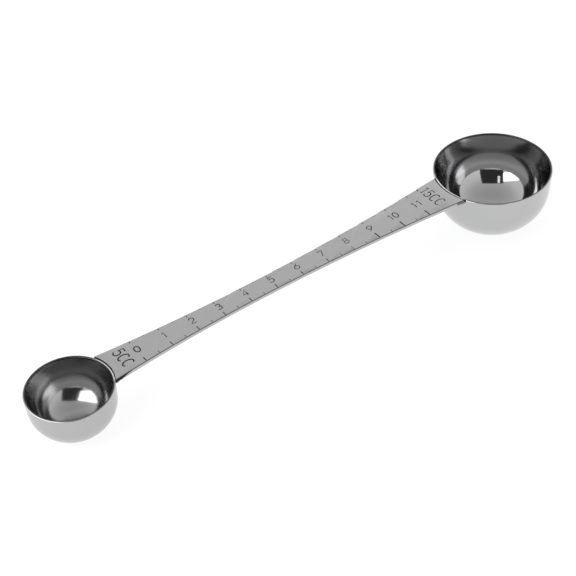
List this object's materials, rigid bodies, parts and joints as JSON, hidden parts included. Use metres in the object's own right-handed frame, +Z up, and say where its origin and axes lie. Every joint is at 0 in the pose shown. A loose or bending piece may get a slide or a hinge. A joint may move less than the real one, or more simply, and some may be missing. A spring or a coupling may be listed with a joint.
{
  "type": "measuring spoon",
  "caption": "Double-ended steel measuring spoon: a small and a large round bowl welded to the ends of a flat, waisted handle that carries a ruler.",
  "frame": {"origin": "on the table, under the middle of the spoon's length and width, with the spoon lying on both bowls", "axes": "+X runs along the spoon to the large bowl, +Y across it, +Z up off the table. The rims' common plane rises about 2.2 degrees towards +X, because the bowls differ in depth."},
  "size_m": [0.2015, 0.041, 0.0232],
  "materials": {
    "bowl_steel": "mirror polished",
    "plate_steel": "polished",
    "weld_steel": "as welded, brushed over"
  },
  "bodies": {
    "root": {"small_bowl": "bowl_steel", "large_bowl": "bowl_steel", "handle": "plate_steel", "small_weld": "weld_steel", "large_weld": "weld_steel"}
  },
  "joints": []
}
